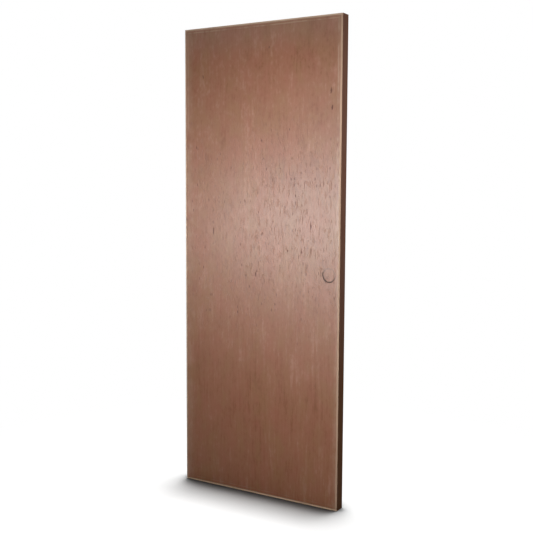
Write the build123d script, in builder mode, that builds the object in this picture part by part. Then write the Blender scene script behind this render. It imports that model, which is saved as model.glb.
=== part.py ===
# Flush door leaf: plywood skins glued to both sides of a timber ladder frame, arrises eased all round.
# Millimetres. The origin is on the hinge edge, at its foot, midway through the thickness.
# X runs from the hinge edge to the lock edge, Z runs up, and the front face looks towards -Y.
import os

from build123d import *

os.makedirs("parts", exist_ok=True)

# Leaf
leaf_width = 800.0
leaf_height = 2100.0

# One skin, counted inwards from its outer face
face_veneer = 0.6
cross_ply = 4.8
inner_veneer = 0.6
skin = face_veneer + cross_ply + inner_veneer

# Eased arris: a long shallow slope, sanded through the face veneer and on into the cross ply
arris_depth = 2.0
arris_reach = 9.0

# Ladder frame between the skins
core = 42.0
stile_width = 60.0
top_rail_width = 75.0
bottom_rail_width = 90.0
opening_height = leaf_height - bottom_rail_width - top_rail_width

# Stub tenons of the two rails, each with a haunch left solid at the end of the stile
tenon_length = 20.0
tenon_thickness = 13.0
tenon_haunch = 18.0

# Ribs between the rails, housed into the stiles
rib_count = 12
rib_thickness = 12.0
housing_depth = 6.0
rib_pitch = (opening_height + rib_thickness) / (rib_count + 1)

# Lock blocks: both fill the two bays below and above the next rib, which stops against them
ribs_below_block_count = 5
block_width = 100.0

# Vent holes in line through the rails and ribs
vent_diameter = 8.0
vent_spacing = 250.0

# Places worked out from the values above
opening_left = stile_width
opening_right = leaf_width - stile_width
middle = leaf_width / 2
vents = [(middle - vent_spacing / 2, 0), (middle + vent_spacing / 2, 0)]


def rib_foot(number):
    """Height of the underside of a rib, counted from 1 at the foot of the leaf."""
    return bottom_rail_width - rib_thickness + number * rib_pitch


lock_rib = ribs_below_block_count + 1
block_foot = rib_foot(ribs_below_block_count) + rib_thickness
block_head = rib_foot(ribs_below_block_count + 2)
housed_ribs = [number for number in range(1, rib_count + 1) if number != lock_rib]


def finish(piece, name):
    """Names a piece and saves it."""
    piece.label = name
    export_step(piece, f"parts/{name}.step")


def bar(left, right, foot, head, thickness, mode=Mode.ADD):
    """A square-edged bar or cut, given by its sides in X, its ends in Z and its thickness in Y."""
    with BuildSketch(Plane.XY.offset(foot)) as outline:
        with Locations(((left + right) / 2, 0)):
            Rectangle(right - left, thickness)
    extrude(outline.sketch, amount=head - foot, mode=mode)


def vent_holes(foot, head):
    """The two vent holes through a rail or rib."""
    with BuildSketch(Plane.XY.offset(foot)) as holes:
        with Locations(*vents):
            Circle(vent_diameter / 2)
    extrude(holes.sketch, amount=head - foot, mode=Mode.SUBTRACT)


def arris_inset(depth):
    """How far the eased arris stands in from the leaf's outline at a depth below the face."""
    return arris_reach * max(0.0, 1 - depth / arris_depth)


def ply(name, side, outer_depth, inner_depth):
    """One ply of a skin between two depths below its face. Side is 1 for the front and -1 for the back."""
    slope_end = [arris_depth] if outer_depth < arris_depth < inner_depth else []
    with BuildPart() as sheet:
        for depth in [outer_depth, *slope_end, inner_depth]:
            with BuildSketch(Plane.XZ.offset(side * (core / 2 + skin - depth))):
                with Locations((middle, leaf_height / 2)):
                    Rectangle(leaf_width - 2 * arris_inset(depth), leaf_height - 2 * arris_inset(depth))
        loft(ruled=True)
    finish(sheet.part, name)


def stile(name, outer, inner):
    """A full-height stile between its outer edge and its inner edge, with mortises and rib housings."""
    inwards = 1 if inner > outer else -1
    with BuildPart() as upright:
        bar(min(outer, inner), max(outer, inner), 0, leaf_height, core)
        mortise_end = inner - inwards * tenon_length
        mortises = [(tenon_haunch, bottom_rail_width), (leaf_height - top_rail_width, leaf_height - tenon_haunch)]
        for foot, head in mortises:
            bar(min(inner, mortise_end), max(inner, mortise_end), foot, head, tenon_thickness, Mode.SUBTRACT)
        housing_end = inner - inwards * housing_depth
        for number in housed_ribs:
            foot = rib_foot(number)
            bar(min(inner, housing_end), max(inner, housing_end), foot, foot + rib_thickness, core, Mode.SUBTRACT)
    finish(upright.part, name)


def lock_block(name, outer, inner):
    """A block beside a stile that a lock or latch can be cut into, housed for the short rib."""
    inwards = 1 if inner > outer else -1
    with BuildPart() as block:
        bar(min(outer, inner), max(outer, inner), block_foot, block_head, core)
        housing_end = inner - inwards * housing_depth
        foot = rib_foot(lock_rib)
        bar(min(inner, housing_end), max(inner, housing_end), foot, foot + rib_thickness, core, Mode.SUBTRACT)
    finish(block.part, name)


def rib(number):
    """A rib with its ends in their housings and the vent holes through it."""
    reach = block_width if number == lock_rib else 0
    left = opening_left + reach - housing_depth
    right = opening_right - reach + housing_depth
    foot = rib_foot(number)
    with BuildPart() as lath:
        bar(left, right, foot, foot + rib_thickness, core)
        vent_holes(foot, foot + rib_thickness)
    finish(lath.part, f"rib_{number:02d}")


# Top rail
with BuildPart() as top_rail:
    bar(opening_left, opening_right, leaf_height - top_rail_width, leaf_height, core)
    for start, end in ((opening_left - tenon_length, opening_left), (opening_right, opening_right + tenon_length)):
        bar(start, end, leaf_height - top_rail_width, leaf_height - tenon_haunch, tenon_thickness)
    vent_holes(leaf_height - top_rail_width, leaf_height)
finish(top_rail.part, "top_rail")

# Bottom rail
with BuildPart() as bottom_rail:
    bar(opening_left, opening_right, 0, bottom_rail_width, core)
    for start, end in ((opening_left - tenon_length, opening_left), (opening_right, opening_right + tenon_length)):
        bar(start, end, tenon_haunch, bottom_rail_width, tenon_thickness)
    vent_holes(0, bottom_rail_width)
finish(bottom_rail.part, "bottom_rail")

# Stiles
stile("hinge_stile", 0, opening_left)
stile("lock_stile", leaf_width, opening_right)

# Lock blocks, one beside each stile so that the leaf can be hung on either hand
lock_block("lock_block", opening_right, opening_right - block_width)
lock_block("spare_lock_block", opening_left, opening_left + block_width)

# Ribs
for number in range(1, rib_count + 1):
    rib(number)

# Skins
for face, side in (("front", 1), ("back", -1)):
    ply(f"{face}_face_veneer", side, 0, face_veneer)
    ply(f"{face}_cross_ply", side, face_veneer, face_veneer + cross_ply)
    ply(f"{face}_inner_veneer", side, face_veneer + cross_ply, skin)
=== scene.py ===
"""Finish and studio of a plain flush door leaf: bare veneer faces, sanded arrises, stained timber edges.

Metres, in the frame's own axes: X runs from the hinge edge to the lock edge, Z runs up from the foot,
and the front face looks towards -Y. Every piece is a CAD node that keeps its place and mesh; this script
gives each one its material, built from nodes on Object coordinates.
"""

import logging
import math
from dataclasses import dataclass, field, replace
from enum import Enum
from functools import reduce

import bpy
from mathutils import Matrix, Vector


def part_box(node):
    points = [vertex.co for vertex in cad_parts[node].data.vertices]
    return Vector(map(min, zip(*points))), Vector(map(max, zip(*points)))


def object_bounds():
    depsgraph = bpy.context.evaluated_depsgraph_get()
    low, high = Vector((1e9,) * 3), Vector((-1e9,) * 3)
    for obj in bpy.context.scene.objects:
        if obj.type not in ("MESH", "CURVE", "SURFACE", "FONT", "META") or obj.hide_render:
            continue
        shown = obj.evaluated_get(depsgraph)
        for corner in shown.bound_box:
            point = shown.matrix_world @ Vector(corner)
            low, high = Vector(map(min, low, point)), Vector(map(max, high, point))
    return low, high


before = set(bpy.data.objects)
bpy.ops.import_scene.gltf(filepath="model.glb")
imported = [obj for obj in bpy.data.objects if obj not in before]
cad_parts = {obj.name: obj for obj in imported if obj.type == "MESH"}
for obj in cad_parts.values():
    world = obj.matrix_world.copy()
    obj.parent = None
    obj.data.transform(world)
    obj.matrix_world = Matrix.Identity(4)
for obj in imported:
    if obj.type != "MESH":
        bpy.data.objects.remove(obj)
cad_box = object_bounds()

MM = 0.001

log = logging.getLogger("flush_door")

Socket = bpy.types.NodeSocket
Source = Socket | float | tuple[float, ...]
Given = bpy.types.NodeOutputs
Outputs = dict[str, Socket]
Colour = tuple[float, float, float]
Triple = tuple[float, float, float]


def shade(*screen: int) -> Colour:
    """A linear colour.

    Args:
        screen: Red, green and blue, as screen values from 0 to 255.

    Returns:
        The colour as the shader reads it.
    """
    values = [value / 255 for value in screen]
    return tuple(value / 12.92 if value <= 0.04045 else ((value + 0.055) / 1.055) ** 2.4 for value in values)


class Run(Enum):
    """The way a piece's grain runs, as the turn that brings it onto Z."""

    UP = (0.0, 0.0, 0.0)
    ACROSS = (0.0, -math.pi / 2, 0.0)


class Face(Enum):
    """A face of the leaf, as the word that the names of its pieces start with."""

    FRONT = "front"
    BACK = "back"


@dataclass(frozen=True)
class Step:
    """A smooth step: where it starts and ends, and what comes out before and after it."""

    start: Source
    end: Source
    low: float = 0.0
    high: float = 1.0


@dataclass(frozen=True)
class Layer:
    """Sizes of a layer of a shared effect, named as the effect's inputs, and the shift of its seed."""

    shift: float = field(default=0.0, kw_only=True)

    def inputs(self, seed: float) -> dict[str, float]:
        """What the effect's inputs are given."""
        sizes = {name.title(): value for name, value in vars(self).items() if name != "shift"}
        return {**sizes, "Seed": seed + self.shift}


@dataclass(frozen=True)
class Grain(Layer):
    """A layer of grain."""

    streak_width: float
    streak_length: float = 0.15
    band_width: float = 45 * MM
    wander: float = 15 * MM


@dataclass(frozen=True)
class Cloud(Layer):
    """A layer of soft tone."""

    size: float
    stretch: float
    contrast: float


@dataclass(frozen=True)
class Strokes(Layer):
    """A layer of raised strokes."""

    width: float
    length: float
    share: float
    bend: float


class Sketch:
    """Adds and links nodes in one shader tree."""

    def __init__(self, tree: bpy.types.NodeTree) -> None:
        """Starts on a tree."""
        self.tree = tree

    def feed(self, socket: Socket, value: Source) -> None:
        """Links a socket to another, or sets its own value."""
        if isinstance(value, Socket):
            self.tree.links.new(value, socket)
        elif isinstance(value, tuple) and len(value) == 3 and socket.type == "RGBA":
            socket.default_value = (*value, 1.0)
        else:
            socket.default_value = value

    def node(self, kind: str, inputs: dict[str | int, Source] | None = None,
             **settings: object) -> bpy.types.Node:
        """Adds a node.

        Args:
            kind: Blender's name of the node type.
            inputs: What feeds each input, by name or number.
            settings: Properties of the node.

        Returns:
            The new node.
        """
        made = self.tree.nodes.new(kind)
        for name, value in settings.items():
            setattr(made, name, value)
        for name, value in (inputs or {}).items():
            self.feed(made.inputs[name], value)
        return made

    def math(self, operation: str, first: Source, second: Source = 0.0) -> Socket:
        """One step of arithmetic on two numbers."""
        return self.node("ShaderNodeMath", {0: first, 1: second}, operation=operation).outputs[0]

    def add(self, first: Source, second: Source) -> Socket:
        """The sum of two numbers."""
        return self.math("ADD", first, second)

    def times(self, first: Source, second: Source) -> Socket:
        """The product of two numbers."""
        return self.math("MULTIPLY", first, second)

    def swing(self, value: Source, reach: Source) -> Socket:
        """A value from 0 to 1, turned into one that swings either side of 0 by half the reach."""
        return self.times(self.math("SUBTRACT", value, 0.5), reach)

    def steepen(self, value: Source, contrast: Source) -> Socket:
        """A value round 0.5, with more or less contrast."""
        return self.add(self.swing(value, contrast), 0.5)

    def sum(self, *layers: tuple[Source, float]) -> Socket:
        """Adds up layers, each with its share."""
        return reduce(self.add, (self.times(layer, share) for layer, share in layers))

    def vector(self, operation: str, first: Source, second: Source) -> Socket:
        """One step of arithmetic on two vectors."""
        return self.node("ShaderNodeVectorMath", {0: first, 1: second}, operation=operation).outputs[0]

    def length(self, vector: Source) -> Socket:
        """How long a vector is."""
        return self.node("ShaderNodeVectorMath", {0: vector}, operation="LENGTH").outputs["Value"]

    def join(self, x: Source, y: Source, z: Source) -> Socket:
        """Three numbers as one vector."""
        return self.node("ShaderNodeCombineXYZ", {0: x, 1: y, 2: z}).outputs[0]

    def split(self, place: Source) -> tuple[Socket, ...]:
        """A vector as its three numbers."""
        return tuple(self.node("ShaderNodeSeparateXYZ", {0: place}).outputs)

    def step(self, value: Source, step: Step) -> Socket:
        """Puts a number through a smooth step."""
        feeds = {"Value": value, "From Min": step.start, "From Max": step.end, "To Min": step.low,
                 "To Max": step.high}
        return self.node("ShaderNodeMapRange", feeds, interpolation_type="SMOOTHSTEP").outputs[0]

    def within(self, *steps: tuple[Source, Step]) -> Socket:
        """Multiplies smooth steps, each with the number that it reads."""
        return reduce(self.times, (self.step(value, step) for value, step in steps))

    def noise(self, place: Source, size: Source, detail: float = 2.0, rough: float = 0.5) -> Socket:
        """Soft random tone.

        Args:
            place: Where it is read.
            size: How large its features are in X, Y and Z.
            detail: How many finer layers lie over the first.
            rough: How strong the finer layers are.

        Returns:
            A number round 0.5.
        """
        spot = self.vector("DIVIDE", place, size)
        feeds = {"Vector": spot, "Scale": 1.0, "Detail": detail, "Roughness": rough}
        return self.node("ShaderNodeTexNoise", feeds).outputs[0]

    def blend(self, share: Source, first: Source, second: Source, mode: str = "MIX") -> Socket:
        """Two colours laid over each other.

        Args:
            share: How much of the second shows.
            first: The colour beneath.
            second: The colour on top.
            mode: How the second is laid on.

        Returns:
            The mixed colour.
        """
        made = self.node("ShaderNodeMix", data_type="RGBA", blend_type=mode)
        for number, value in ((0, share), (6, first), (7, second)):
            self.feed(made.inputs[number], value)
        return made.outputs[2]

    def effect(self, effect: "Effect", place: Source, **values: Source) -> Outputs:
        """Places a shared effect.

        Args:
            effect: The effect's group.
            place: Where it is read.
            values: Its other inputs, with _ for a space.

        Returns:
            The effect's outputs by name.
        """
        made = self.node("ShaderNodeGroup", node_tree=effect.tree)
        self.feed(made.inputs["Place"], place)
        for name, value in values.items():
            self.feed(made.inputs[name.replace("_", " ")], value)
        return {socket.name: socket for socket in made.outputs}


class Effect:
    """A shader node group that finishes share. It puts out only numbers that change over the surface."""

    title: str = ""
    inputs: dict[str, float] = {}

    def __init__(self) -> None:
        """Builds the group once."""
        self.tree = bpy.data.node_groups.new(self.title, "ShaderNodeTree")
        sockets = self.tree.interface
        sockets.new_socket(name="Place", in_out="INPUT", socket_type="NodeSocketVector")
        for name, value in self.inputs.items():
            made = sockets.new_socket(name=name, in_out="INPUT", socket_type="NodeSocketFloat")
            made.default_value = value
        sketch = Sketch(self.tree)
        made = self.draw(sketch, sketch.node("NodeGroupInput").outputs)
        for name in made:
            sockets.new_socket(name=name, in_out="OUTPUT", socket_type="NodeSocketFloat")
        end = sketch.node("NodeGroupOutput")
        for name, value in made.items():
            sketch.feed(end.inputs[name], value)

    def draw(self, sketch: Sketch, given: Given) -> dict[str, Source]:
        """Draws the group's nodes.

        Args:
            sketch: The group's tree.
            given: The group's inputs.

        Returns:
            What feeds each output.
        """
        raise NotImplementedError


class WoodGrain(Effect):
    """Grain along Z: fine streaks, broad bands and short pores, all wandering a little."""

    title = "Wood Grain"
    inputs = {"Streak Width": 6 * MM, "Streak Length": 0.15, "Band Width": 45 * MM, "Wander": 15 * MM,
              "Seed": 0.0}
    wander_size = (0.3, 0.3, 0.5)
    band_stretch = 14.0
    pore_size = (0.9 * MM, 0.9 * MM, 9 * MM)
    pore_step = Step(0.62, 0.74)

    def draw(self, sketch: Sketch, given: Given) -> dict[str, Source]:
        """Draws the streaks, bands and pores on a wandering place."""
        seed = given["Seed"]
        shifted = sketch.vector("ADD", given["Place"], sketch.join(seed, seed, seed))
        drift = sketch.swing(sketch.noise(shifted, self.wander_size), given["Wander"])
        place = sketch.vector("ADD", shifted, sketch.join(drift, drift, 0.0))
        width, length, band = given["Streak Width"], given["Streak Length"], given["Band Width"]
        streaks = sketch.noise(place, sketch.join(width, width, length), detail=4.0, rough=0.6)
        bands = sketch.noise(place, sketch.join(band, band, sketch.times(band, self.band_stretch)))
        pores = sketch.noise(place, self.pore_size, detail=1.0)
        return {"Streaks": streaks, "Bands": bands, "Pores": sketch.step(pores, self.pore_step)}


class Clouds(Effect):
    """Soft blotches of deeper and paler colour."""

    title = "Clouds"
    inputs = {"Size": 0.25, "Stretch": 1.5, "Contrast": 1.0, "Seed": 0.0}

    def draw(self, sketch: Sketch, given: Given) -> dict[str, Source]:
        """Draws one layer of soft noise, steepened round its middle."""
        shifted = sketch.vector("ADD", given["Place"], sketch.join(given["Seed"], 0.0, given["Seed"]))
        size = sketch.join(given["Size"], given["Size"], sketch.times(given["Size"], given["Stretch"]))
        tone = sketch.noise(shifted, size, detail=3.0, rough=0.55)
        return {"Tone": sketch.steepen(tone, given["Contrast"])}


class RaisedGrain(Effect):
    """Short raised or ripped strokes of grain, each with its own place, bend and strength."""

    title = "Raised Grain"
    inputs = {"Width": 6 * MM, "Length": 40 * MM, "Share": 0.5, "Bend": 20 * MM, "Seed": 0.0}
    bend_size = (50 * MM, 50 * MM, 50 * MM)
    spacing = 1.7
    mound = Step(0.42, 0.16)
    strength = Step(0.2, 1.0, 0.2, 1.0)
    left_side = Step(0.05, -0.15)
    right_side = Step(-0.05, 0.15)

    def draw(self, sketch: Sketch, given: Given) -> dict[str, Source]:
        """Draws one stroke to a cell, and tells its left side from its right."""
        x, _, z = sketch.split(given["Place"])
        bend = sketch.swing(sketch.noise(given["Place"], self.bend_size, detail=1.0), given["Bend"])
        across = sketch.math("DIVIDE", sketch.add(x, bend), sketch.times(given["Width"], self.spacing))
        along = sketch.math("DIVIDE", z, sketch.times(given["Length"], self.spacing))
        spot = sketch.join(sketch.add(across, given["Seed"]), sketch.add(along, given["Seed"]), 0.0)
        cells = sketch.node("ShaderNodeTexVoronoi", {"Vector": spot, "Scale": 1.0}, voronoi_dimensions="2D")
        chance, strength, _ = sketch.split(cells.outputs["Color"])
        there = sketch.math("LESS_THAN", chance, given["Share"])
        mound = sketch.step(cells.outputs["Distance"], self.mound)
        stroke = sketch.times(sketch.times(mound, there), sketch.step(strength, self.strength))
        offset, _, _ = sketch.split(sketch.vector("SUBTRACT", spot, cells.outputs["Position"]))
        return {"Stroke": stroke,
                "Left Side": sketch.times(stroke, sketch.step(offset, self.left_side)),
                "Right Side": sketch.times(stroke, sketch.step(offset, self.right_side))}


class Fleck(Effect):
    """One small dark fleck or bark pocket, long in the grain."""

    title = "Fleck"
    inputs = {"Centre X": 0.0, "Centre Z": 0.0, "Half Width": 3 * MM, "Half Length": 10 * MM, "Tilt": 0.0}
    ragged_size = (4 * MM, 4 * MM, 8 * MM)
    ragged_reach = 1.2
    outline = Step(1.15, 0.45)

    def draw(self, sketch: Sketch, given: Given) -> dict[str, Source]:
        """Draws a ragged leaning oval."""
        x, _, z = sketch.split(given["Place"])
        up = sketch.math("SUBTRACT", z, given["Centre Z"])
        lean = sketch.times(up, given["Tilt"])
        side = sketch.math("SUBTRACT", sketch.math("SUBTRACT", x, given["Centre X"]), lean)
        flat = sketch.join(sketch.math("DIVIDE", side, given["Half Width"]),
                           sketch.math("DIVIDE", up, given["Half Length"]), 0.0)
        ragged = sketch.swing(sketch.noise(given["Place"], self.ragged_size), self.ragged_reach)
        return {"Mask": sketch.step(sketch.add(sketch.length(flat), ragged), self.outline)}


class Margin(Effect):
    """How far a spot on a face lies from the leaf's outline, as a sander's uneven hand left it."""

    title = "Sanded Margin"
    inputs = {"Width": 0.8, "Height": 2.1, "Waver": 5 * MM, "Seed": 0.0}
    waver_size = (70 * MM, 70 * MM, 70 * MM)

    def draw(self, sketch: Sketch, given: Given) -> dict[str, Source]:
        """Draws the smaller distance to a long edge or an end, with a wavering hand."""
        x, _, z = sketch.split(given["Place"])
        side = sketch.math("MINIMUM", x, sketch.math("SUBTRACT", given["Width"], x))
        head = sketch.math("SUBTRACT", given["Height"], z)
        end = sketch.math("MINIMUM", z, head)
        shifted = sketch.vector("ADD", given["Place"], sketch.join(given["Seed"], 0.0, 0.0))
        waver = sketch.swing(sketch.noise(shifted, self.waver_size, detail=3.0), given["Waver"])
        return {"Distance": sketch.add(sketch.math("MINIMUM", side, end), waver),
                "From Head": sketch.add(head, waver)}


class DrawnRing(Effect):
    """A ring drawn freehand, pressed harder along its lower side."""

    title = "Drawn Ring"
    inputs = {"Centre X": 0.0, "Centre Z": 0.0, "Radius": 30 * MM, "Line": 1.5 * MM}
    shake_size = (25 * MM, 25 * MM, 25 * MM)
    shake_reach = 6 * MM
    core_share = 0.3
    slant = 0.4
    pressure = Step(1.0, -1.0, 0.35, 1.0)

    def draw(self, sketch: Sketch, given: Given) -> dict[str, Source]:
        """Draws a thin shaky line at the radius."""
        x, _, z = sketch.split(given["Place"])
        side = sketch.math("SUBTRACT", x, given["Centre X"])
        up = sketch.math("SUBTRACT", z, given["Centre Z"])
        far = sketch.length(sketch.join(side, up, 0.0))
        shake = sketch.swing(sketch.noise(given["Place"], self.shake_size), self.shake_reach)
        off = sketch.math("ABSOLUTE", sketch.add(sketch.math("SUBTRACT", far, given["Radius"]), shake))
        line = sketch.step(off, Step(given["Line"], sketch.times(given["Line"], self.core_share)))
        lower_left = sketch.math("DIVIDE", sketch.add(up, sketch.times(side, self.slant)), given["Radius"])
        return {"Mask": sketch.times(line, sketch.step(lower_left, self.pressure))}


class EndGrain(Effect):
    """Growth rings and rays on sawn ends, round a pith outside the piece."""

    title = "End Grain"
    inputs = {"Pith X": 0.0, "Pith Y": 0.12, "Ring Width": 3.5 * MM, "Seed": 0.0}
    warp_size = (30 * MM, 30 * MM, 30 * MM)
    warp_reach = 6 * MM
    ring_step = Step(0.2, 1.0)
    rays_to_a_radian = 220.0
    ray_size = (1.0, 10 * MM, 1.0)
    ray_step = Step(0.6, 0.75)

    def draw(self, sketch: Sketch, given: Given) -> dict[str, Source]:
        """Draws rings by the distance from the pith and rays by the angle round it."""
        x, y, _ = sketch.split(given["Place"])
        side = sketch.math("SUBTRACT", x, given["Pith X"])
        deep = sketch.math("SUBTRACT", y, given["Pith Y"])
        far = sketch.length(sketch.join(side, deep, 0.0))
        warp = sketch.swing(sketch.noise(given["Place"], self.warp_size), self.warp_reach)
        turns = sketch.math("DIVIDE", sketch.add(far, warp), given["Ring Width"])
        rings = sketch.step(sketch.math("FRACT", sketch.add(turns, given["Seed"])), self.ring_step)
        angle = sketch.times(sketch.math("ARCTAN2", deep, side), self.rays_to_a_radian)
        rays = sketch.noise(sketch.join(angle, far, given["Seed"]), self.ray_size, detail=1.0)
        return {"Rings": rings, "Rays": sketch.step(rays, self.ray_step)}


class LongEdge(Effect):
    """Where the stain on a long edge of the leaf lies, a little worn here and there."""

    title = "Long Edge"
    inputs = {"Across": 1.0, "Seed": 0.0}
    facing = Step(0.9, 0.97)
    patch_size = (20 * MM, 20 * MM, 0.2)
    patch_step = Step(0.35, 0.6, 0.9, 1.0)

    def draw(self, sketch: Sketch, given: Given) -> dict[str, Source]:
        """Reads how far the surface faces across the leaf, and wears the stain a little."""
        facing = sketch.step(sketch.math("ABSOLUTE", given["Across"]), self.facing)
        shifted = sketch.vector("ADD", given["Place"], sketch.join(given["Seed"], 0.0, 0.0))
        patches = sketch.noise(shifted, self.patch_size, detail=4.0, rough=0.6)
        return {"Mask": sketch.times(facing, sketch.step(patches, self.patch_step))}


class Effects:
    """The shared effects, each built once."""

    def __init__(self) -> None:
        """Builds every group."""
        self.grain = WoodGrain()
        self.clouds = Clouds()
        self.raised = RaisedGrain()
        self.fleck = Fleck()
        self.margin = Margin()
        self.ring = DrawnRing()
        self.ends = EndGrain()
        self.long_edge = LongEdge()


@dataclass
class Finish:
    """A material under construction: its tree, its coordinates, and how far it faces across and up."""

    name: str
    run: Run

    def __post_init__(self) -> None:
        """Starts the material and its coordinates, and turns those that the grain runs along."""
        self.material = bpy.data.materials.new(self.name)
        self.material.use_nodes = True
        tree = self.material.node_tree
        tree.nodes.clear()
        self.sketch = Sketch(tree)
        coordinates = self.sketch.node("ShaderNodeTexCoord")
        self.place = coordinates.outputs["Object"]
        self.across, _, self.upward = self.sketch.split(coordinates.outputs["Normal"])
        turned = self.sketch.node("ShaderNodeMapping", {"Vector": self.place, "Rotation": self.run.value})
        self.along = turned.outputs["Vector"]

    def close(self, colour: Source, roughness: Source, height: Source, depth: float,
              gloss: float) -> bpy.types.Material:
        """Adds the shader.

        Args:
            colour: What feeds the base colour.
            roughness: What feeds the roughness.
            height: What feeds the bump.
            depth: How deep a height of 1 is.
            gloss: The specular level.

        Returns:
            The finished material.
        """
        bump = self.sketch.node("ShaderNodeBump", {"Height": height, "Distance": depth, "Strength": 1.0})
        feeds = {"Base Color": colour, "Roughness": roughness, "Normal": bump.outputs["Normal"],
                 "Specular IOR Level": gloss}
        shader = self.sketch.node("ShaderNodeBsdfPrincipled", feeds)
        end = self.sketch.node("ShaderNodeOutputMaterial")
        self.sketch.feed(end.inputs["Surface"], shader.outputs["BSDF"])
        return self.material


@dataclass
class Coat(Finish):
    """A wooden surface under construction: its colour so far, and the layers that later steps read."""

    effects: Effects
    seed: float
    colour: Source
    grain: Outputs = field(default_factory=dict)
    broad: Source = 0.0
    patches: Source = 0.0
    mottle: Source = 0.0
    lift: Source = 0.0
    dull: Source = 0.0
    scars: Source = 0.0
    marks: Source = 0.0

    def __post_init__(self) -> None:
        """Starts the material, and reads the place across and up."""
        super().__post_init__()
        self.x, _, self.z = self.sketch.split(self.place)

    def draw_grain(self, sizes: Grain) -> Outputs:
        """Draws a layer of grain along the surface's run."""
        return self.sketch.effect(self.effects.grain, self.along, **sizes.inputs(self.seed))

    def draw_cloud(self, sizes: Cloud) -> Socket:
        """Draws a layer of soft tone."""
        return self.sketch.effect(self.effects.clouds, self.place, **sizes.inputs(self.seed))["Tone"]

    def draw_strokes(self, sizes: Strokes) -> Outputs:
        """Draws a layer of raised strokes."""
        return self.sketch.effect(self.effects.raised, self.place, **sizes.inputs(self.seed))

    def lay(self, share: Source, colour: Source) -> None:
        """Lays a colour over what is there."""
        self.colour = self.sketch.blend(share, self.colour, colour)


@dataclass(frozen=True)
class EdgeStain:
    """Dark brown stain on the two long edges of the leaf, a little warmer low down."""

    deep: Colour = shade(108, 74, 60)
    thin: Colour = shade(120, 84, 69)
    low_tint: Colour = (1.0, 0.88, 0.55)
    grain: Grain = Grain(2.5 * MM, 0.2)
    thinned: Step = Step(0.3, 0.7)
    tinted_below: Step = Step(1.0, 0.4)

    def cover(self, coat: Coat) -> None:
        """Lays the stain over the colour so far.

        Args:
            coat: The wood so far.
        """
        sketch = coat.sketch
        streaks = sketch.effect(coat.effects.grain, coat.place, **self.grain.inputs(coat.seed))["Streaks"]
        stain = sketch.blend(sketch.step(streaks, self.thinned), self.deep, self.thin)
        stain = sketch.blend(sketch.step(coat.z, self.tinted_below), stain, self.low_tint, "MULTIPLY")
        mask = sketch.effect(coat.effects.long_edge, coat.place, Across=coat.across, Seed=coat.seed)["Mask"]
        coat.lay(mask, stain)


@dataclass(frozen=True)
class FleckMark:
    """A dark fleck in the front veneer, by its place on the leaf and its size."""

    x: float
    z: float
    half_width: float = 3.5 * MM
    half_length: float = 9 * MM
    tilt: float = 0.0
    depth: float = 0.9


@dataclass(frozen=True)
class RingMark:
    """A freehand pencil ring on the front veneer."""

    x: float = 0.750
    z: float = 1.019
    radius: float = 29 * MM
    line: float = 4.2 * MM
    strength: float = 0.85


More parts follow.
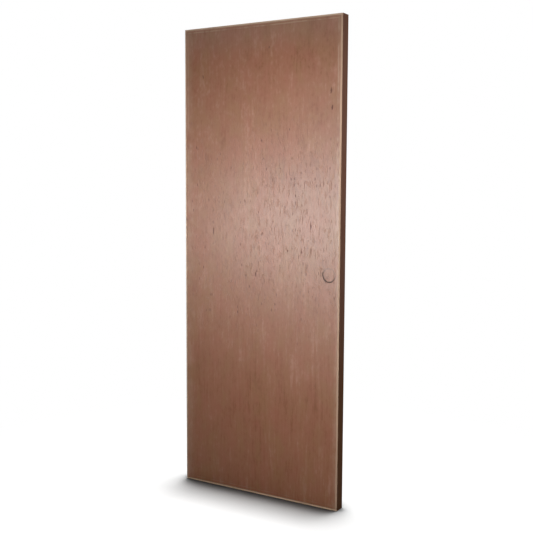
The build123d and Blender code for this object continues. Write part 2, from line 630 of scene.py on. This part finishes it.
@dataclass(frozen=True)
class BareVeneer:
    """Rotary-cut reddish-brown veneer, sanded and left bare. Steps along X and Z are places on the leaf."""

    deep: Colour = shade(128, 75, 45)
    middle: Colour = shade(145, 93, 64)
    pale: Colour = shade(163, 113, 89)
    # Right sides of the strokes: ripped grain, partly painted shade.
    torn: Colour = shade(92, 44, 24)
    # Left sides of the strokes: a painted highlight.
    lifted: Colour = shade(180, 138, 116)
    red: Colour = shade(152, 90, 67)
    olive: Colour = shade(140, 99, 60)
    sanded: Colour = shade(180, 146, 122)
    fleck: Colour = shade(80, 30, 14)
    pencil: Colour = shade(40, 34, 30)
    dust: Colour = shade(176, 162, 150)

    grain: Grain = Grain(5 * MM, 0.12, 40 * MM, 40 * MM)
    stripes: Grain = Grain(14 * MM, 0.3, wander=50 * MM, shift=21.0)
    broad: Cloud = Cloud(0.30, 1.3, 1.6)
    patches: Cloud = Cloud(52 * MM, 1.7, 1.5, shift=7.0)
    mottle: Cloud = Cloud(11 * MM, 1.8, 1.8, shift=17.0)
    hue: Cloud = Cloud(55 * MM, 1.9, 2.4, shift=13.0)
    blotchy_above: Step = Step(0.3, 1.5, 0.7, 1.1)
    striped_across: Step = Step(0.2, 0.7, 0.9, 1.5)
    striped_below: Step = Step(1.4, 0.7, 1.0, 1.7)
    deep_to_middle: Step = Step(0.36, 0.50)
    middle_to_pale: Step = Step(0.50, 0.65)
    reddened: Step = Step(0.45, 0.95, 0.0, 0.38)
    yellowed: Step = Step(0.55, 0.05, 0.0, 0.38)

    # The strokes gather at the middle height of the leaf, where the sheen falls.
    torn_above: Step = Step(0.45, 1.0)
    torn_below: Step = Step(1.95, 1.45)
    torn_across: Step = Step(0.0, 0.45, 0.8, 1.0)
    torn_clouds: Cloud = Cloud(0.14, 1.6, 2.0, shift=2.0)
    torn_patchy: Step = Step(0.2, 0.6, 0.55, 1.0)
    torn_elsewhere: float = 0.10
    torn_strokes: tuple[Strokes, ...] = (Strokes(3.2 * MM, 12 * MM, 0.30, 2 * MM, shift=2.7),
                                         Strokes(3.4 * MM, 23 * MM, 0.26, 3 * MM),
                                         Strokes(3.8 * MM, 42 * MM, 0.20, 5 * MM, shift=5.3))
    # Strengths of the painted shade on the right sides and of the painted highlight on the left sides.
    torn_depth: float = 0.78
    lifted_depth: float = 0.8
    lifted_power: float = 1.7
    scar_strokes: Strokes = Strokes(4.6 * MM, 14 * MM, 0.055, 10 * MM, shift=8.1)
    scarred: Step = Step(0.35, 0.8)
    scar_depth: float = 0.8
    pore_depth: float = 0.35

    dusty: Step = Step(170 * MM, 10 * MM, 0.0, 0.14)
    thinned: Step = Step(13 * MM, 8 * MM, 0.0, 0.26)
    sanded_through: Step = Step(8.5 * MM, 6.5 * MM)
    # Paler patchy bands along both long sides.
    handled_by_hinges: Step = Step(60 * MM, 6 * MM, 0.0, 0.34)
    handled_by_lock: Step = Step(30 * MM, 8 * MM, 0.0, 0.42)
    handled_patchy: Step = Step(0.3, 0.6, 0.4, 1.0)
    line_drift: Step = Step(1.9, 0.3, -1 * MM, -4 * MM)
    line_outer: Step = Step(12 * MM, 15 * MM)
    line_inner: Step = Step(20 * MM, 17 * MM)
    line_patchy: Step = Step(0.35, 0.6, 0.15, 0.6)
    line_above: Step = Step(0.9, 1.8, 0.25, 1.0)

    sway_size: Triple = (0.10, 0.10, 0.22)
    rough: float = 0.34
    bump: float = 0.9 * MM
    gloss: float = 0.22

    def make(self, name: str, skin: "Skin") -> bpy.types.Material:
        """Builds the veneer of one face.

        Args:
            name: The material's name.
            skin: The skin that it lies on, with its size and marks.

        Returns:
            The material.
        """
        coat = Coat(name, Run.UP, skin.effects, skin.veneer_seed, self.deep)
        self.draw_tone(coat)
        self.draw_torn_grain(coat)
        self.draw_flecks(coat, skin.flecks)
        self.draw_margins(coat, skin.width, skin.height)
        if skin.ring is not None:
            self.draw_ring(coat, skin.ring)
        sketch, streaks = coat.sketch, coat.grain["Streaks"]
        sway = sketch.noise(coat.place, self.sway_size)
        relief = sketch.sum((coat.lift, 0.5), (streaks, 0.25), (sway, 0.8), (coat.mottle, 0.2),
                            (coat.grain["Pores"], -0.10))
        rough = sketch.sum((coat.broad, 0.08), (streaks, 0.10), (self.rough, 1.0), (coat.dull, 0.4))
        broken = sketch.math("MAXIMUM", coat.marks, sketch.times(coat.scars, self.scar_depth))
        return coat.close(coat.colour, sketch.math("MAXIMUM", rough, broken), relief, self.bump, self.gloss)

    def draw_tone(self, coat: Coat) -> None:
        """Draws the wood's own colour: streaks, bands, blotches, spots, stripes and drifts of hue.

        Args:
            coat: The veneer so far.
        """
        sketch = coat.sketch
        coat.grain = coat.draw_grain(self.grain)
        coat.broad, coat.patches, coat.mottle = map(coat.draw_cloud, (self.broad, self.patches, self.mottle))
        stripes = coat.draw_grain(self.stripes)["Streaks"]
        striped = sketch.within((coat.x, self.striped_across), (coat.z, self.striped_below))
        blotchy = sketch.step(coat.z, self.blotchy_above)
        tone = sketch.sum((coat.grain["Streaks"], 0.24), (coat.grain["Bands"], 0.15), (coat.broad, 0.12),
                          (sketch.steepen(coat.patches, blotchy), 0.19),
                          (sketch.steepen(coat.mottle, blotchy), 0.16),
                          (sketch.steepen(stripes, striped), 0.13))
        coat.lay(sketch.step(tone, self.deep_to_middle), self.middle)
        coat.lay(sketch.step(tone, self.middle_to_pale), self.pale)
        hue = coat.draw_cloud(self.hue)
        coat.lay(sketch.step(hue, self.reddened), self.red)
        coat.lay(sketch.step(hue, self.yellowed), self.olive)

    def draw_torn_grain(self, coat: Coat) -> None:
        """Draws strokes whose right side is ripped grain with painted shade and whose left side is a painted
        highlight, dark scars, and pores.

        Args:
            coat: The veneer so far.
        """
        sketch = coat.sketch
        zone = sketch.within((coat.z, self.torn_above), (coat.z, self.torn_below), (coat.x, self.torn_across),
                             (coat.draw_cloud(self.torn_clouds), self.torn_patchy))
        zone = sketch.add(zone, self.torn_elsewhere)
        # Share of the painted highlight, strongest where the sheen falls.
        raised = sketch.times(sketch.math("POWER", zone, self.lifted_power), self.lifted_depth)
        for sizes in self.torn_strokes:
            strokes = coat.draw_strokes(sizes)
            pulled_and_shaded = sketch.times(strokes["Right Side"], zone)
            # Right sides: ripped grain with painted shade. Left sides: a painted highlight.
            coat.lay(sketch.times(pulled_and_shaded, self.torn_depth), self.torn)
            coat.lay(sketch.times(strokes["Left Side"], raised), self.lifted)
            coat.dull = sketch.math("MAXIMUM", coat.dull, pulled_and_shaded)
            coat.lift = sketch.math("MAXIMUM", coat.lift, sketch.times(strokes["Stroke"], zone))
        scars = coat.draw_strokes(self.scar_strokes)["Stroke"]
        coat.scars = sketch.times(scars, sketch.step(zone, self.scarred))
        coat.lay(sketch.times(coat.scars, self.scar_depth), self.fleck)
        coat.lay(sketch.times(coat.grain["Pores"], self.pore_depth), self.deep)

    def draw_flecks(self, coat: Coat, flecks: tuple[FleckMark, ...]) -> None:
        """Draws the flecks that have a place of their own.

        Args:
            coat: The veneer so far.
            flecks: The flecks.
        """
        sketch = coat.sketch
        for mark in flecks:
            spot = sketch.effect(coat.effects.fleck, coat.place, Centre_X=mark.x, Centre_Z=mark.z,
                                 Half_Width=mark.half_width, Half_Length=mark.half_length,
                                 Tilt=mark.tilt)["Mask"]
            coat.marks = sketch.math("MAXIMUM", coat.marks, sketch.times(spot, mark.depth))
        coat.lay(coat.marks, self.fleck)

    def draw_margins(self, coat: Coat, width: float, height: float) -> None:
        """Draws dust at the head, paler patchy bands along both long sides, and the sanded margin with its
        inner line.

        Args:
            coat: The veneer so far.
            width: The leaf's width.
            height: The leaf's height.
        """
        sketch = coat.sketch
        margin = sketch.effect(coat.effects.margin, coat.place, Width=width, Height=height, Seed=coat.seed)
        coat.lay(sketch.step(margin["From Head"], self.dusty), self.dust)
        # Paler patchy bands along both long sides, then the sanded margin.
        worn = sketch.math("MAXIMUM", sketch.step(coat.x, self.handled_by_hinges),
                           sketch.step(sketch.math("SUBTRACT", width, coat.x), self.handled_by_lock))
        worn = sketch.times(worn, sketch.step(coat.patches, self.handled_patchy))
        for reach in (self.thinned, self.sanded_through):
            worn = sketch.math("MAXIMUM", worn, sketch.step(margin["Distance"], reach))
        inset = sketch.add(margin["Distance"], sketch.step(coat.z, self.line_drift))
        line = sketch.within((inset, self.line_outer), (inset, self.line_inner),
                             (coat.patches, self.line_patchy), (coat.z, self.line_above))
        coat.lay(sketch.math("MAXIMUM", worn, line), self.sanded)

    def draw_ring(self, coat: Coat, ring: RingMark) -> None:
        """Draws the pencil ring.

        Args:
            coat: The veneer so far.
            ring: The ring.
        """
        drawn = coat.sketch.effect(coat.effects.ring, coat.place, Centre_X=ring.x, Centre_Z=ring.z,
                                   Radius=ring.radius, Line=ring.line)["Mask"]
        coat.lay(coat.sketch.times(drawn, ring.strength), self.pencil)
        coat.marks = coat.sketch.math("MAXIMUM", coat.marks, drawn)


@dataclass(frozen=True, kw_only=True)
class Wood:
    """Wood at the edges of the leaf and inside it: one colour, and a second that comes with the grain."""

    ground: Colour
    figure: Colour
    grain: Grain = Grain(4 * MM)
    streak_share: float = 1.0
    figured: Step = Step(0.35, 0.7)
    clouds: Cloud | None = None
    clouded: Step = Step(0.45, 0.85, 0.0, 0.45)
    stain: EdgeStain | None = EdgeStain()
    rough: float = 0.52
    rough_streaks: float = 0.15
    bump: float = 0.2 * MM
    gloss: float = 0.01

    def make(self, name: str, run: Run, effects: Effects, seed: float) -> bpy.types.Material:
        """Builds the wood's material.

        Args:
            name: The material's name.
            run: The way that the grain runs.
            effects: The shared effects.
            seed: Which random pattern is read.

        Returns:
            The material.
        """
        coat = Coat(name, run, effects, seed, self.ground)
        sketch = coat.sketch
        coat.grain = coat.draw_grain(self.grain)
        streaks = coat.grain["Streaks"]
        tone = sketch.sum((streaks, self.streak_share), (coat.grain["Bands"], 1.0 - self.streak_share))
        share = sketch.step(tone, self.figured)
        if self.clouds is not None:
            share = sketch.add(share, sketch.step(coat.draw_cloud(self.clouds), self.clouded))
        coat.lay(share, self.figure)
        height = self.detail(coat)
        if self.stain is not None:
            self.stain.cover(coat)
        roughness = sketch.add(sketch.times(streaks, self.rough_streaks), self.rough)
        return coat.close(coat.colour, roughness, height, self.bump, self.gloss)

    def detail(self, coat: Coat) -> Socket:
        """Adds what only one kind of wood has.

        Args:
            coat: The wood so far.

        Returns:
            What feeds the bump.
        """
        return coat.grain["Streaks"]


@dataclass(frozen=True, kw_only=True)
class InnerVeneer(Wood):
    """Thin brown veneer against the frame, bare at the head and foot."""

    ground: Colour = shade(120, 78, 56)
    figure: Colour = shade(144, 98, 72)


@dataclass(frozen=True, kw_only=True)
class PaleCrossPly(Wood):
    """Pale ply that is open on the sanded arrises, with its grain across the leaf."""

    ground: Colour = shade(216, 186, 162)
    figure: Colour = shade(192, 158, 132)
    # Painted shade on the lock-side arris, which faces the lamps, and painted light on the foot arris, which
    # faces the floor.
    handled: Colour = shade(168, 132, 106)
    fresh: Colour = shade(240, 206, 172)
    grain: Grain = Grain(1.2 * MM, 60 * MM, 30 * MM, 4 * MM)
    figured: Step = Step(0.4, 0.75, 0.0, 0.5)
    clouds: Cloud = Cloud(50 * MM, 2.0, 1.6)
    facing_lock: Step = Step(0.08, 0.2, 0.0, 0.45)
    facing_floor: Step = Step(-0.08, -0.2, 0.0, 0.8)
    rough: float = 0.5
    bump: float = 0.25 * MM

    def detail(self, coat: Coat) -> Socket:
        """Paints shade on the arris that faces the lock side, and paints light on the one at the foot, which
        faces the floor.
        """
        # Painted shade on the lock side, painted light at the foot.
        coat.lay(coat.sketch.step(coat.across, self.facing_lock), self.handled)
        coat.lay(coat.sketch.step(coat.upward, self.facing_floor), self.fresh)
        return coat.grain["Streaks"]


@dataclass(frozen=True, kw_only=True)
class PlanedTimber(Wood):
    """Planed brown timber: long grain on its sides, and growth rings round a pith on its ends."""

    pith: tuple[float, float] | None = None
    grain: Grain = Grain(2.2 * MM, 0.14, 9 * MM, 9 * MM)
    streak_share: float = 0.55
    figured: Step = Step(0.35, 0.65)
    pores: float = 0.5
    rings: float = 0.75
    rays: float = 0.4
    ring_relief: float = 0.6
    facing_end: Step = Step(0.9, 0.97)
    rough: float = 0.45
    rough_streaks: float = 0.18
    bump: float = 0.35 * MM

    def detail(self, coat: Coat) -> Socket:
        """Adds pores, and the end grain of a piece that has a pith."""
        sketch = coat.sketch
        coat.lay(sketch.times(coat.grain["Pores"], self.pores), self.ground)
        if self.pith is None:
            return coat.grain["Streaks"]
        ends = sketch.effect(coat.effects.ends, coat.place, Pith_X=self.pith[0], Pith_Y=self.pith[1],
                             Seed=coat.seed)
        sawn = sketch.blend(sketch.times(ends["Rings"], self.rings), self.figure, self.ground)
        sawn = sketch.blend(sketch.times(ends["Rays"], self.rays), sawn, self.figure)
        at_end = sketch.step(sketch.math("ABSOLUTE", coat.upward), self.facing_end)
        coat.lay(at_end, sawn)
        rings = sketch.times(sketch.times(ends["Rings"], at_end), self.ring_relief)
        return sketch.add(coat.grain["Streaks"], rings)


@dataclass(frozen=True, kw_only=True)
class SawnTimber(Wood):
    """Pale timber left from the saw, inside the leaf."""

    grain: Grain = Grain(3 * MM, 0.1, 14 * MM, 8 * MM)
    streak_share: float = 0.6
    figured: Step = Step(0.35, 0.68)
    stain: EdgeStain | None = None
    tooth_pitch: float = 2.4 * MM
    tooth_waver: float = 2 * MM
    tooth_relief: float = 0.2
    waver_size: Triple = (20 * MM, 20 * MM, 20 * MM)
    rough: float = 0.62
    rough_streaks: float = 0.2
    bump: float = 0.4 * MM
    gloss: float = 0.25

    def detail(self, coat: Coat) -> Socket:
        """Adds the marks of the saw's teeth."""
        sketch = coat.sketch
        _, _, length = sketch.split(coat.along)
        waver = sketch.swing(sketch.noise(coat.place, self.waver_size), self.tooth_waver)
        turns = sketch.math("DIVIDE", sketch.add(length, waver), self.tooth_pitch)
        teeth = sketch.math("SINE", sketch.times(turns, math.tau))
        return sketch.sum((teeth, self.tooth_relief), (coat.grain["Streaks"], 1.0))


@dataclass
class Assembly:
    """A group of CAD nodes that are dressed together."""

    effects: Effects
    done: list[str] = field(default_factory=list)

    def put(self, node: str, material: bpy.types.Material) -> None:
        """Gives a node its material and notes it.

        Args:
            node: The CAD node's name.
            material: Its finish.
        """
        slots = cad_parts[node].material_slots
        if not slots:
            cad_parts[node].data.materials.append(material)
        for slot in slots:
            slot.material = material
        self.done.append(node)
        log.info("%s is dressed in %s", node, material.name)

    def dress(self) -> None:
        """Dresses every node of the group."""
        raise NotImplementedError


@dataclass
class Skin(Assembly):
    """The three plies on one side of the frame."""

    face: Face = Face.FRONT
    width: float = 0.0
    height: float = 0.0
    veneer: BareVeneer = BareVeneer()
    ply: PaleCrossPly = PaleCrossPly()
    inner: InnerVeneer = InnerVeneer()
    flecks: tuple[FleckMark, ...] = ()
    ring: RingMark | None = None
    veneer_seed: float = 3.0
    ply_seed: float = 1.0
    inner_seed: float = 3.0

    def __post_init__(self) -> None:
        """Takes the leaf's width and height from the inner veneer, which reaches the outline."""
        low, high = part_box(f"{self.face.value}_inner_veneer")
        self.width, self.height = high.x - low.x, high.z - low.z

    def dress(self) -> None:
        """Dresses the face veneer, the cross ply and the inner veneer."""
        side = self.face.value
        self.put(f"{side}_face_veneer", self.veneer.make(f"{side}_bare_veneer", self))
        ply = self.ply.make(f"{side}_pale_ply", Run.ACROSS, self.effects, self.ply_seed)
        self.put(f"{side}_cross_ply", ply)
        inner = self.inner.make(f"{side}_inner_veneer_finish", Run.UP, self.effects, self.inner_seed)
        self.put(f"{side}_inner_veneer", inner)


@dataclass
class TimberFrame(Assembly):
    """The two stiles and two rails."""

    stile: PlanedTimber = PlanedTimber(ground=shade(104, 68, 50), figure=shade(134, 94, 70))
    rail: PlanedTimber = PlanedTimber(ground=shade(112, 74, 54), figure=shade(142, 100, 74))
    pith_shift: float = 25 * MM
    pith_depth: float = 0.11
    stile_seeds: tuple[float, float] = (4.0, 8.0)
    rail_seeds: tuple[float, float] = (20.0, 24.0)

    def dress(self) -> None:
        """Dresses the stiles, each with its pith behind or in front of the leaf, and the rails."""
        depths = (self.pith_depth, -self.pith_depth)
        for name, depth, seed in zip(("hinge_stile", "lock_stile"), depths, self.stile_seeds):
            low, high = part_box(name)
            stile = replace(self.stile, pith=((low.x + high.x) / 2 + self.pith_shift, depth))
            self.put(name, stile.make(f"{name}_timber", Run.UP, self.effects, seed))
        for name, seed in zip(("top_rail", "bottom_rail"), self.rail_seeds):
            self.put(name, self.rail.make(f"{name}_timber", Run.ACROSS, self.effects, seed))


@dataclass
class Core(Assembly):
    """The ribs and lock blocks inside the leaf."""

    rib: SawnTimber = SawnTimber(ground=shade(178, 148, 116), figure=shade(146, 112, 82))
    block: SawnTimber = SawnTimber(ground=shade(170, 136, 104), figure=shade(138, 102, 74))
    rib_seed: float = 2.0
    block_seed: float = 9.0

    def dress(self) -> None:
        """Dresses the ribs with grain across the leaf and the blocks with grain up it."""
        across = self.rib.make("rib_timber", Run.ACROSS, self.effects, self.rib_seed)
        for name in sorted(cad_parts):
            if name.startswith("rib_"):
                self.put(name, across)
        up = self.block.make("lock_block_timber", Run.UP, self.effects, self.block_seed)
        for name in ("lock_block", "spare_lock_block"):
            self.put(name, up)


@dataclass
class Panel:
    """A soft light panel. It shows in reflections only with gloss, and lights plain surfaces with diffuse."""

    name: str
    middle: Triple
    aim: Triple
    width: float
    height: float
    radiance: float
    gloss: bool = False
    diffuse: bool = True

    def build(self, keep_off: bpy.types.Collection) -> None:
        """Adds the panel.

        Args:
            keep_off: The collection that it doesn't light.
        """
        lamp = bpy.data.lights.new(self.name, "AREA")
        lamp.shape = "RECTANGLE"
        lamp.size, lamp.size_y = self.width, self.height
        lamp.energy = self.radiance * math.pi * self.width * self.height
        made = bpy.data.objects.new(self.name, lamp)
        bpy.context.scene.collection.objects.link(made)
        made.location = self.middle
        made.rotation_euler = (Vector(self.aim) - Vector(self.middle)).to_track_quat("-Z", "Y").to_euler()
        made.visible_camera = False
        made.visible_glossy = self.gloss
        made.visible_diffuse = self.diffuse
        made.light_linking.receiver_collection = keep_off


@dataclass
class Studio:
    """White floor, white surroundings and soft panels round the leaf."""

    centre: Vector
    floor_reach: float = 20.0
    plain_beyond: Step = Step(0.9, 1.8)
    floor_tone: float = 0.36
    bounce_tone: float = 0.034
    # Painted contact shade on the floor round the foot.
    contact_reach: float = 110 * MM
    contact_tone: Step = Step(0.5, 1.0, 0.32, 1.0)
    ambient: float = 0.06
    floor_lamp_strength: float = 9.2
    floor_lamp_spread: float = math.radians(8.7)
    floor_lamp_lean: tuple[float, float] = (math.radians(-3.7), math.radians(-0.7))
    floor_lamp_height: float = 6.0

    def seen_white(self, sketch: Sketch) -> Socket:
        """Tells the rays that see the background: straight, reflected and passed through.

        Args:
            sketch: The tree that asks.

        Returns:
            1 for such a ray, and 0 for any other.
        """
        path = sketch.node("ShaderNodeLightPath").outputs
        seen = sketch.math("MAXIMUM", path["Is Camera Ray"], path["Is Glossy Ray"])
        return sketch.math("MAXIMUM", seen, path["Is Transmission Ray"])

    def surround(self) -> None:
        """Lights the leaf softly from all round, and shows white to the rays that see the background."""
        world = bpy.data.worlds.new("white_surround")
        world.use_nodes = True
        world.node_tree.nodes.clear()
        sketch = Sketch(world.node_tree)
        seen = self.seen_white(sketch)
        strength = sketch.add(sketch.times(seen, 1.0 - self.ambient), self.ambient)
        glow = sketch.node("ShaderNodeBackground", {"Color": (1.0, 1.0, 1.0), "Strength": strength})
        end = sketch.node("ShaderNodeOutputWorld")
        sketch.feed(end.inputs["Surface"], glow.outputs["Background"])
        bpy.context.scene.world = world

    def floor_finish(self) -> bpy.types.Material:
        """White paint that keeps the leaf's shadow, darkened by painted shade where it meets the foot, and is
        plain white farther off.

        Returns:
            The floor's material.
        """
        finish = Finish("white_floor", Run.UP)
        sketch = finish.sketch
        off = sketch.vector("SUBTRACT", finish.place, (self.centre.x, self.centre.y, 0.0))
        plain = sketch.step(sketch.length(off), self.plain_beyond)
        seen = self.seen_white(sketch)
        tone = sketch.add(sketch.times(seen, self.floor_tone - self.bounce_tone), self.bounce_tone)
        # Painted contact shade: the floor darkens where the leaf's foot hides it from open sky.
        open_sky = sketch.node("ShaderNodeAmbientOcclusion", {"Distance": self.contact_reach}).outputs["AO"]
        tone = sketch.times(tone, sketch.step(open_sky, self.contact_tone))
        paint = sketch.node("ShaderNodeBsdfDiffuse", {"Color": tone})
        glow = sketch.node("ShaderNodeEmission", {"Color": (1.0, 1.0, 1.0), "Strength": 1.0})
        mixed = sketch.node("ShaderNodeMixShader", {0: sketch.times(plain, seen), 1: paint.outputs[0],
                                                    2: glow.outputs[0]})
        end = sketch.node("ShaderNodeOutputMaterial")
        sketch.feed(end.inputs["Surface"], mixed.outputs[0])
        return finish.material

    def floor(self) -> bpy.types.Object:
        """Lays the floor.

        Returns:
            The floor's object.
        """
        reach = self.floor_reach
        signs = ((-1, -1), (1, -1), (1, 1), (-1, 1))
        corners = [(x * reach + self.centre.x, y * reach, 0.0) for x, y in signs]
        mesh = bpy.data.meshes.new("floor")
        mesh.from_pydata(corners, [], [(0, 1, 2, 3)])
        mesh.materials.append(self.floor_finish())
        made = bpy.data.objects.new("floor", mesh)
        bpy.context.scene.collection.objects.link(made)
        return made

    def linked(self, name: str, floor: bpy.types.Object, state: str) -> bpy.types.Collection:
        """A collection that says whether a lamp lights the floor.

        Args:
            name: The collection's name.
            floor: The floor.
            state: INCLUDE for a lamp that lights only the floor, EXCLUDE for one that doesn't light it.

        Returns:
            The collection.
        """
        made = bpy.data.collections.new(name)
        made.objects.link(floor)
        made.collection_objects[0].light_linking.link_state = state
        return made

    def build(self) -> None:
        """Lays the floor, sets the surroundings and hangs the lamps."""
        self.surround()
        floor = self.floor()
        keep_off = self.linked("lights_the_leaf", floor, "EXCLUDE")
        # Name, middle, aim, width, height and radiance
        panels = (
            Panel("high_panel", (0.73, -0.49, 1.71), (0.69, 0.0, 1.71), 0.6, 0.5, 1.6),
            Panel("front_panel", (0.95, -1.24, 0.82), (0.80, 0.0, 0.82), 0.8, 0.8, 5.0),
            Panel("near_panel", (0.14, -0.87, 1.34), (0.18, 0.0, 1.34), 0.4, 0.4, 8.0),
            Panel("sheen_panel", (0.60, -2.08, 1.15), (1.30, 0.0, 1.25), 2.8, 0.2, 120.0,
                  gloss=True, diffuse=False),
            Panel("side_panel", (1.6, 0.15, 1.70), (0.8, 0.0, 1.70), 0.3, 1.3, 3.85),
            Panel("hinge_side_panel", (-0.9, 0.15, 1.5), (0.0, 0.0, 1.5), 0.3, 1.3, 2.0),
            Panel("head_panel", (0.4, 0.0, 2.75), (0.4, 0.0, 2.1), 0.8, 0.05, 18.0),
            Panel("back_panel", (0.2, 1.9, 1.5), (0.4, 0.0, 1.1), 1.4, 1.4, 4.0, gloss=True),
        )
        for panel in panels:
            panel.build(keep_off)
            log.info("%s hangs at %s", panel.name, panel.middle)
        sun = bpy.data.lights.new("floor_lamp", "SUN")
        sun.energy, sun.angle = self.floor_lamp_strength, self.floor_lamp_spread
        made = bpy.data.objects.new("floor_lamp", sun)
        bpy.context.scene.collection.objects.link(made)
        made.location = (self.centre.x, 0.0, self.floor_lamp_height)
        made.rotation_euler = (*self.floor_lamp_lean, 0.0)
        made.light_linking.receiver_collection = self.linked("lights_the_floor", floor, "INCLUDE")


@dataclass
class PhotoCamera:
    """The camera of the photograph. The picture and focal length are in pixels, the sensor in millimetres."""

    picture: float = 533.0
    sensor: float = 36.0
    focal: float = 854.77
    place: Vector = field(default_factory=lambda: Vector((2.38703, -3.23516, 1.39720)))
    yaw: float = math.radians(-31.2389)
    dip: float = math.radians(5.4233)
    roll: float = math.radians(0.2711)

    def build(self) -> None:
        """Adds the camera."""
        data = bpy.data.cameras.new("photo_camera")
        data.sensor_width = self.sensor
        data.lens = self.focal * self.sensor / self.picture
        ahead = Vector((math.sin(self.yaw) * math.cos(self.dip), math.cos(self.yaw) * math.cos(self.dip),
                        -math.sin(self.dip)))
        level = Vector((math.cos(self.yaw), -math.sin(self.yaw), 0.0))
        upright = level.cross(ahead)
        right = math.cos(self.roll) * level + math.sin(self.roll) * upright
        up = math.cos(self.roll) * upright - math.sin(self.roll) * level
        made = bpy.data.objects.new("photo_camera", data)
        made.matrix_world = Matrix.Translation(self.place) @ Matrix((right, up, -ahead)).transposed().to_4x4()
        bpy.context.scene.collection.objects.link(made)
        bpy.context.scene.camera = made


def main() -> None:
    """Dresses the leaf and builds the studio and the camera."""
    logging.basicConfig(level=logging.INFO, format="%(name)s: %(message)s")
    scene = bpy.context.scene
    scene.view_settings.view_transform = "Standard"
    effects = Effects()
    flecks = (
        FleckMark(0.101, 1.884, tilt=-0.2, depth=0.8),
        FleckMark(0.751, 1.790, half_width=5 * MM, half_length=15 * MM, depth=0.85),
        FleckMark(0.757, 1.721, half_width=5 * MM, half_length=12 * MM, tilt=0.15),
        FleckMark(0.449, 1.989, half_length=7 * MM, depth=0.6),
        FleckMark(0.156, 1.189, half_width=3 * MM, half_length=22 * MM),
        FleckMark(0.661, 1.226, half_width=3 * MM, half_length=22 * MM),
        FleckMark(0.383, 1.004, half_length=12 * MM),
    )
    groups = (
        Skin(effects, face=Face.FRONT, flecks=flecks, ring=RingMark()),
        Skin(effects, face=Face.BACK, veneer_seed=11.0, ply_seed=6.0, inner_seed=8.0),
        TimberFrame(effects),
        Core(effects),
    )
    for group in groups:
        group.dress()
    dressed = sum(len(group.done) for group in groups)
    log.info("%d of %d pieces dressed", dressed, len(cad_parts))
    low, high = cad_box
    Studio(Vector(((low.x + high.x) / 2, (low.y + high.y) / 2, 0.0))).build()
    PhotoCamera().build()


if __name__ == "__main__":
    main()
